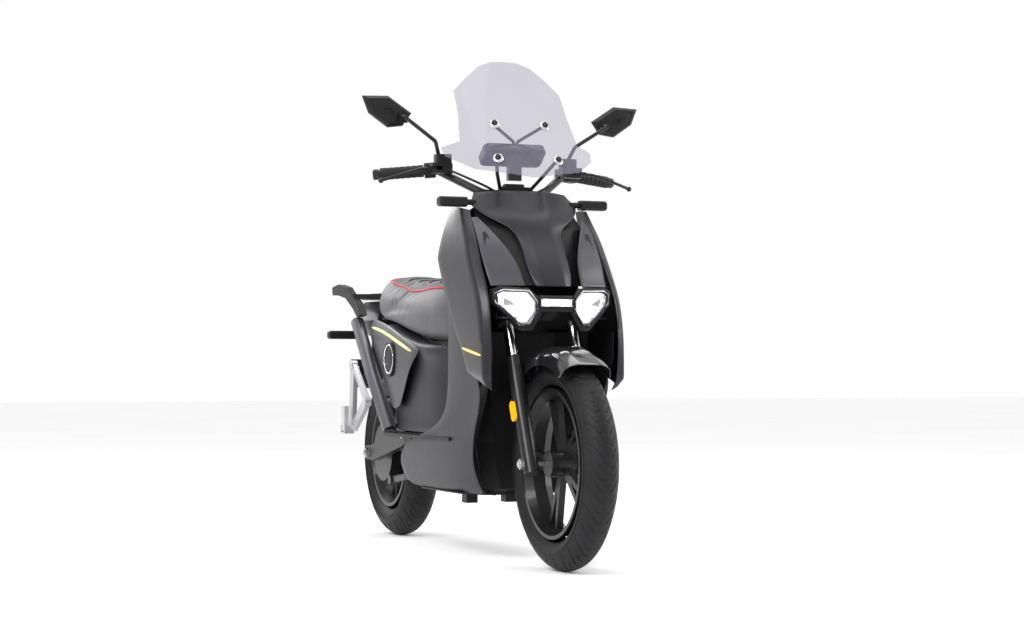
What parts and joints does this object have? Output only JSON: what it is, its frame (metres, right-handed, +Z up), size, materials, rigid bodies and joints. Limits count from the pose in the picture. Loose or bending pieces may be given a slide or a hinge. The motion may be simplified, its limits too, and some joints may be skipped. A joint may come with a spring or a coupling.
{
  "type": "moped scooter",
  "caption": "Electric moped scooter with raked windscreen, twin-lamp front, step-through floor, long seat and rear grab rail.",
  "frame": {"origin": "on the ground below the middle of the overall box", "axes": "+Z up, front faces -Y, +X is the rider's left side"},
  "size_m": [0.838, 1.8999, 1.4038],
  "materials": {
    "dark_panel": "satin paint on plastic",
    "grey_panel": "satin metallic paint",
    "black_plastic": "fine moulded grain",
    "gloss_black": "gloss",
    "clear_screen": "clear smoked acrylic",
    "lamp_lens": "clear lens over lit reflector",
    "tyre": "rubber with sipes",
    "black_metal": "satin powder coat",
    "grey_tube": "metallic grey paint",
    "steel": "turned and plated",
    "chrome": "hard chrome",
    "cast_alloy": "cast and blasted",
    "rubber": "moulded ribs",
    "seat_vinyl": "grained vinyl",
    "mirror": "mirror",
    "amber": "prismatic reflector",
    "frame_paint": "satin paint",
    "battery_case": "textured case",
    "spring_paint": "powder coat"
  },
  "bodies": {
    "root": {"battery_packs_controller": "battery_case", "belly_pan": "black_plastic", "footboards": "black_plastic", "front_hood": "dark_panel", "grab_rail": "black_plastic", "headlight_housing": "black_plastic", "headlight_lenses": "lamp_lens", "hood_side_panels": "grey_panel", "indicators": "black_plastic", "inner_leg_shield": "black_plastic", "inner_liners": "black_plastic", "leg_shield_wings": "grey_panel", "lower_fairings": "grey_panel", "main_frame": "frame_paint", "peg_hangers": "cast_alloy", "pivot_pins": "steel", "rear_frame_rails": "grey_tube", "rear_mudguard": "black_plastic", "side_panels": "dark_panel", "tail_cap": "dark_panel", "under_seat_cowl": "grey_panel"},
    "steering": {"steering_yoke_stem": "black_metal", "fork_stanchions": "chrome", "handlebar": "black_metal", "handlebar_controls": "black_plastic", "left_grip": "rubber", "mirror_stems": "black_metal", "instrument_display": "gloss_black", "windscreen": "clear_screen", "screen_bracket": "black_metal"},
    "fork_sliders": {"fork_lowers": "black_metal", "front_axle": "steel", "front_brake_caliper": "black_metal", "front_fender": "gloss_black", "side_reflectors": "amber"},
    "front_wheel": {"front_tyre": "tyre", "front_rim": "black_metal", "front_brake_disc": "steel"},
    "rear_wheel": {"rear_tyre": "tyre", "rear_hub_motor_rim": "black_metal", "rear_brake_disc": "steel"},
    "swingarm": {"swingarm": "black_metal", "rear_axle": "steel", "rear_brake_caliper": "black_metal"},
    "shock_upper": {"shock_body": "black_metal", "shock_spring": "spring_paint"},
    "shock_lower": {"shock_rod": "chrome"},
    "throttle": {"throttle_grip": "rubber"},
    "left_lever": {"left_brake_lever": "black_metal"},
    "right_lever": {"right_brake_lever": "black_metal"},
    "left_mirror": {"left_mirror_head": "black_plastic"},
    "right_mirror": {"right_mirror_head": "black_plastic"},
    "horn": {"horn_button": "black_plastic"},
    "starter": {"start_button": "black_plastic"},
    "seat": {"seat_cushion": "seat_vinyl", "seat_base": "black_plastic"},
    "centre_stand": {"centre_stand": "black_metal"},
    "side_stand": {"side_stand": "black_metal"},
    "left_peg": {"left_passenger_peg": "cast_alloy"},
    "right_peg": {"right_passenger_peg": "cast_alloy"}
  },
  "joints": [
    {"name": "steering_turn", "type": "hinge", "parent": "root", "child": "steering", "pos_m": [0, -0.63032, 0.26705], "axis": [0, 0.3987, 0.9171], "range_deg": [-30, 30]},
    {"name": "fork_travel", "type": "slide", "parent": "steering", "child": "fork_sliders", "axis": [0, 0.3987, 0.9171], "range_m": [0, 0.045], "stiffness_N_per_m": 9000, "springref_m": -0.09},
    {"name": "front_wheel_spin", "type": "hinge", "parent": "fork_sliders", "child": "front_wheel", "pos_m": [0, -0.667, 0.283], "axis": [1, 0, 0], "continuous": true},
    {"name": "swingarm_swing", "type": "hinge", "parent": "root", "child": "swingarm", "pos_m": [0, 0.33, 0.33], "axis": [1, 0, 0], "range_deg": [0, 6], "stiffness_Nm_per_rad": 3500, "springref_deg": -5.16},
    {"name": "rear_wheel_spin", "type": "hinge", "parent": "swingarm", "child": "rear_wheel", "pos_m": [0, 0.673, 0.266], "axis": [1, 0, 0], "continuous": true},
    {"name": "shock_tilt", "type": "hinge", "parent": "root", "child": "shock_upper", "pos_m": [0, 0.3, 0.566], "axis": [1, 0, 0], "range_deg": [-10, 10]},
    {"name": "shock_compress", "type": "slide", "parent": "shock_upper", "child": "shock_lower", "axis": [0, -0.2783, 0.9605], "range_m": [-0.001, 0.03], "deforming": ["shock_spring"]},
    {"name": "throttle_twist", "type": "hinge", "parent": "steering", "child": "throttle", "pos_m": [-0.35, -0.168, 1.078], "axis": [-0.9579, 0.2737, -0.0871], "range_deg": [0, 70], "stiffness_Nm_per_rad": 0.12, "springref_deg": -34.38},
    {"name": "left_brake_pull", "type": "hinge", "parent": "steering", "child": "left_lever", "pos_m": [0.214, -0.252, 1.092], "axis": [0, 0, 1], "range_deg": [0, 9], "stiffness_Nm_per_rad": 3, "springref_deg": -5.73},
    {"name": "right_brake_pull", "type": "hinge", "parent": "steering", "child": "right_lever", "pos_m": [-0.214, -0.252, 1.092], "axis": [0, 0, 1], "range_deg": [-9, 0], "stiffness_Nm_per_rad": 3, "springref_deg": 5.73},
    {"name": "left_mirror_tilt", "type": "hinge", "parent": "steering", "child": "left_mirror", "pos_m": [0.306, -0.25, 1.229], "axis": [1, 0, 0], "range_deg": [-8, 8]},
    {"name": "right_mirror_tilt", "type": "hinge", "parent": "steering", "child": "right_mirror", "pos_m": [-0.306, -0.25, 1.229], "axis": [1, 0, 0], "range_deg": [-8, 8]},
    {"name": "horn_press", "type": "slide", "parent": "steering", "child": "horn", "axis": [0.2747, -0.9615, 0], "range_m": [0, 0.0025], "stiffness_N_per_m": 600, "springref_m": -0.001},
    {"name": "start_press", "type": "slide", "parent": "steering", "child": "starter", "axis": [-0.2747, -0.9615, 0], "range_m": [0, 0.0025], "stiffness_N_per_m": 600, "springref_m": -0.001},
    {"name": "seat_open", "type": "hinge", "parent": "root", "child": "seat", "pos_m": [0, -0.098, 0.6], "axis": [1, 0, 0], "range_deg": [0, 46]},
    {"name": "centre_stand_fold", "type": "hinge", "parent": "root", "child": "centre_stand", "pos_m": [0, 0.262, 0.214], "axis": [1, 0, 0], "range_deg": [-85, 0], "stiffness_Nm_per_rad": 4, "springref_deg": 34.38},
    {"name": "side_stand_fold", "type": "hinge", "parent": "root", "child": "side_stand", "pos_m": [0.133, 0.15, 0.168], "axis": [1, 0, 0], "range_deg": [-75, 0], "stiffness_Nm_per_rad": 2, "springref_deg": 34.38},
    {"name": "left_peg_fold", "type": "hinge", "parent": "root", "child": "left_peg", "pos_m": [0.213, 0.594, 0.347], "axis": [0, 1, 0], "range_deg": [0, 80]},
    {"name": "right_peg_fold", "type": "hinge", "parent": "root", "child": "right_peg", "pos_m": [-0.213, 0.594, 0.347], "axis": [0, 1, 0], "range_deg": [-80, 0]}
  ],
  "couplings": [
    {"joint": "shock_tilt", "follows": "swingarm_swing", "ratio": -0.06452},
    {"joint": "shock_compress", "follows": "swingarm_swing", "m_per_rad": 0.0361}
  ]
}
